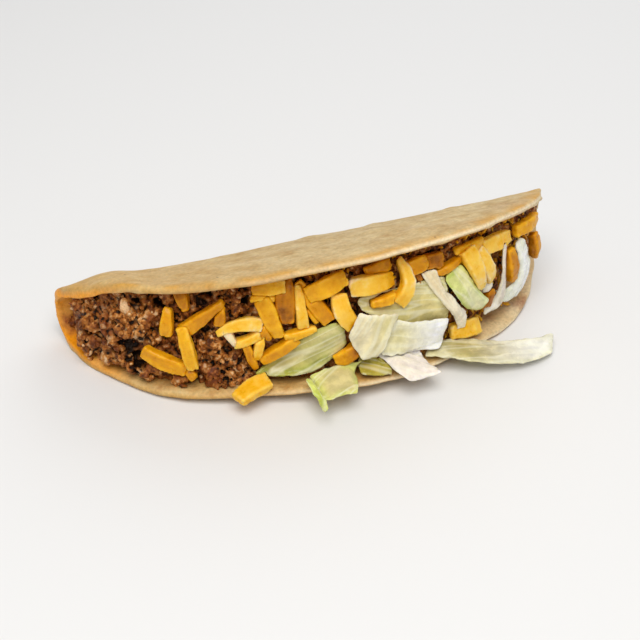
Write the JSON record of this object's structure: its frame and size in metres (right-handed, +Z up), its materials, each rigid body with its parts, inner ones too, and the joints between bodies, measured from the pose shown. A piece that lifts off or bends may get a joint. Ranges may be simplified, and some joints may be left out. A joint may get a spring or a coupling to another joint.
{
  "type": "taco",
  "caption": "Crisp folded corn tortilla lying on its side, open along one edge, filled with crumbled beef, cheddar shreds and torn iceberg lettuce.",
  "frame": {"origin": "on the flat underside of the tortilla's lower half, at mid length, where the taco rests", "axes": "+X along the fold to the right-hand tip, -Y out of the open mouth, +Z up from the table"},
  "size_m": [0.1448, 0.0615, 0.0438],
  "materials": {
    "tortilla": "dry fried corn tortilla, golden with browned blisters",
    "beef": "moist crumbled cooked beef",
    "cheddar": "satin cut cheddar",
    "lettuce": "wet, ribbed, slightly translucent leaf"
  },
  "bodies": {
    "root": {"tortilla_shell": "tortilla", "ground_beef": "beef", "cheddar_1": "cheddar", "cheddar_2": "cheddar", "cheddar_3": "cheddar", "cheddar_4": "cheddar", "cheddar_5": "cheddar", "cheddar_6": "cheddar", "cheddar_7": "cheddar", "cheddar_8": "cheddar", "cheddar_9": "cheddar", "cheddar_10": "cheddar", "cheddar_11": "cheddar", "cheddar_12": "cheddar", "cheddar_13": "cheddar", "cheddar_14": "cheddar", "cheddar_15": "cheddar", "cheddar_16": "cheddar", "cheddar_17": "cheddar", "cheddar_18": "cheddar", "cheddar_19": "cheddar", "cheddar_20": "cheddar", "cheddar_21": "cheddar", "cheddar_22": "cheddar", "cheddar_23": "cheddar", "cheddar_24": "cheddar", "cheddar_25": "cheddar", "cheddar_26": "cheddar", "cheddar_27": "cheddar", "cheddar_28": "cheddar", "cheddar_29": "cheddar", "cheddar_30": "cheddar", "cheddar_31": "cheddar", "cheddar_32": "cheddar", "cheddar_33": "cheddar", "cheddar_34": "cheddar", "cheddar_35": "cheddar", "cheddar_36": "cheddar", "cheddar_37": "cheddar", "cheddar_38": "cheddar", "cheddar_39": "cheddar", "cheddar_40": "cheddar", "cheddar_41": "cheddar", "cheddar_42": "cheddar", "cheddar_43": "cheddar", "lettuce_behind": "lettuce", "lettuce_under": "lettuce", "lettuce_rim_right": "lettuce", "lettuce_long_right": "lettuce", "lettuce_rib": "lettuce", "lettuce_long_left": "lettuce", "lettuce_corner": "lettuce", "lettuce_rim_left": "lettuce", "lettuce_strand": "lettuce", "lettuce_green": "lettuce", "lettuce_strip": "lettuce", "lettuce_shaving": "lettuce", "lettuce_curl": "lettuce", "lettuce_right_end": "lettuce"}
  },
  "joints": []
}
